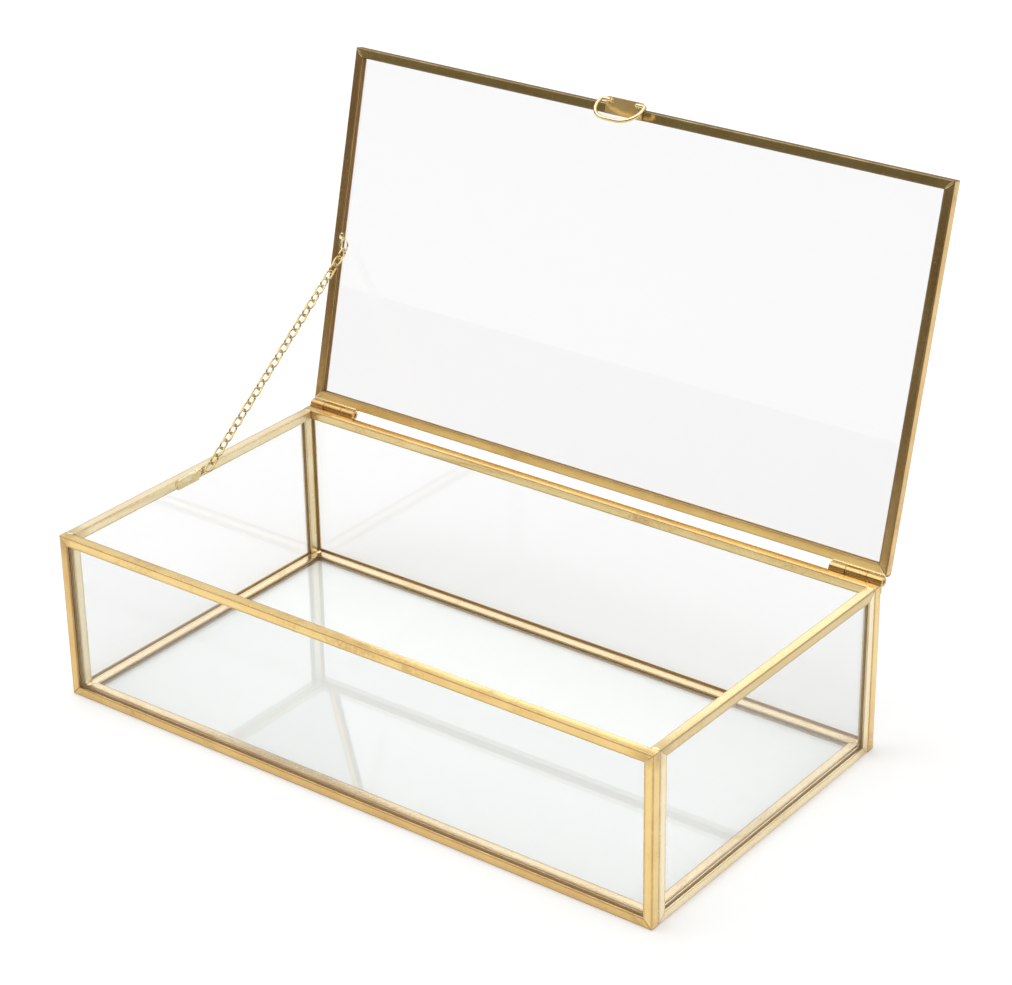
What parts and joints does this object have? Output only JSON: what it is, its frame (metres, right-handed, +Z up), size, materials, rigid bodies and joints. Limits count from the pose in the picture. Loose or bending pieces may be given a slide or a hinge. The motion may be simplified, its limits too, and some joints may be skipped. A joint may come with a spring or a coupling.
{
  "type": "jewelry box",
  "caption": "Rectangular glass jewelry box with brass channel edges and a hinged glass lid held open by a fine chain, with a small D-shaped pull ring.",
  "frame": {"origin": "middle of the bottom of the bounding box with the lid open, on the floor between the two ends", "axes": "+X along the hinge, to the right of a viewer at the front; -Y is the front, +Z up"},
  "size_m": [0.2, 0.138, 0.1599],
  "materials": {
    "frame": "bright, lightly tarnished",
    "glass": "clear, polished",
    "hinge": "satin",
    "pull": "worn satin",
    "chain": "bright wire",
    "solder": "soldered, matt"
  },
  "bodies": {
    "box": {"back_bottom_channel": "frame", "back_glass": "glass", "back_left_channel": "frame", "back_right_channel": "frame", "back_top_channel": "frame", "chain_rim_eye": "solder", "floor_back_channel": "frame", "floor_front_channel": "frame", "floor_glass": "glass", "floor_left_channel": "frame", "floor_right_channel": "frame", "front_bottom_channel": "frame", "front_glass": "glass", "front_left_channel": "frame", "front_right_channel": "frame", "front_top_channel": "frame", "left_back_channel": "frame", "left_bottom_channel": "frame", "left_front_channel": "frame", "left_glass": "glass", "left_hinge_body_leaf": "hinge", "left_hinge_pin": "hinge", "left_top_channel": "frame", "right_back_channel": "frame", "right_bottom_channel": "frame", "right_front_channel": "frame", "right_glass": "glass", "right_hinge_body_leaf": "hinge", "right_hinge_pin": "hinge", "right_top_channel": "frame"},
    "lid": {"lid_back_channel": "frame", "lid_front_channel": "frame", "lid_glass": "glass", "lid_left_channel": "frame", "lid_right_channel": "frame", "left_hinge_lid_leaf": "hinge", "right_hinge_lid_leaf": "hinge", "pull_tab": "pull", "chain_lid_eye": "solder"},
    "pull_ring": {"pull_ring": "pull"},
    "chain_rim_run": {"chain_links_01": "chain", "chain_links_02": "chain", "chain_links_03": "chain", "chain_links_04": "chain", "chain_links_05": "chain"},
    "chain_bend_1": {"chain_links_06": "chain"},
    "chain_bend_2": {"chain_links_07": "chain"},
    "chain_bend_3": {"chain_links_08": "chain"},
    "chain_bend_4": {"chain_links_09": "chain"},
    "chain_bend_5": {"chain_links_10": "chain"},
    "chain_lid_run": {"chain_links_11": "chain", "chain_links_12": "chain", "chain_links_13": "chain", "chain_links_14": "chain", "chain_links_15": "chain"}
  },
  "joints": [
    {"name": "lid_hinge", "type": "hinge", "parent": "box", "child": "lid", "pos_m": [0, 0.03951, 0.0508], "axis": [1, 0, 0], "range_deg": [0, 104]},
    {"name": "ring_pivot", "type": "hinge", "parent": "lid", "child": "pull_ring", "pos_m": [-0.0034, 0.06641, 0.15808], "axis": [-1, 0, 0], "range_deg": [0, 39]},
    {"name": "chain_lid_run_pivot", "type": "hinge", "parent": "lid", "child": "chain_lid_run", "pos_m": [-0.0949, 0.05068, 0.09769], "axis": [1, 0, 0], "range_deg": [-39.83, 0]},
    {"name": "chain_bend_5_pivot", "type": "hinge", "parent": "chain_lid_run", "child": "chain_bend_5", "pos_m": [-0.0949, 0.02916, 0.08176], "axis": [1, 0, 0], "range_deg": [-21.72, 0]},
    {"name": "chain_bend_4_pivot", "type": "hinge", "parent": "chain_bend_5", "child": "chain_bend_4", "pos_m": [-0.0949, 0.02485, 0.07857], "axis": [1, 0, 0], "range_deg": [-32.77, 0]},
    {"name": "chain_bend_3_pivot", "type": "hinge", "parent": "chain_bend_4", "child": "chain_bend_3", "pos_m": [-0.0949, 0.02055, 0.07539], "axis": [1, 0, 0], "range_deg": [-44.45, 0]},
    {"name": "chain_bend_2_pivot", "type": "hinge", "parent": "chain_bend_3", "child": "chain_bend_2", "pos_m": [-0.0949, 0.01624, 0.0722], "axis": [1, 0, 0], "range_deg": [-45.06, 0]},
    {"name": "chain_bend_1_pivot", "type": "hinge", "parent": "chain_bend_2", "child": "chain_bend_1", "pos_m": [-0.0949, 0.01194, 0.06902], "axis": [1, 0, 0], "range_deg": [-34.18, 0]},
    {"name": "chain_rim_run_pivot", "type": "hinge", "parent": "chain_bend_1", "child": "chain_rim_run", "pos_m": [-0.0949, 0.00763, 0.06583], "axis": [1, 0, 0], "range_deg": [-23.33, 0]}
  ],
  "couplings": [
    {"joint": "ring_pivot", "follows": "lid_hinge", "ratio": 0.375},
    {"joint": "chain_lid_run_pivot", "follows": "lid_hinge", "ratio": -0.38285},
    {"joint": "chain_bend_5_pivot", "follows": "lid_hinge", "ratio": -0.20868},
    {"joint": "chain_bend_4_pivot", "follows": "lid_hinge", "ratio": -0.31492},
    {"joint": "chain_bend_3_pivot", "follows": "lid_hinge", "ratio": -0.42726},
    {"joint": "chain_bend_2_pivot", "follows": "lid_hinge", "ratio": -0.43311},
    {"joint": "chain_bend_1_pivot", "follows": "lid_hinge", "ratio": -0.32849},
    {"joint": "chain_rim_run_pivot", "follows": "lid_hinge", "ratio": -0.22421}
  ]
}
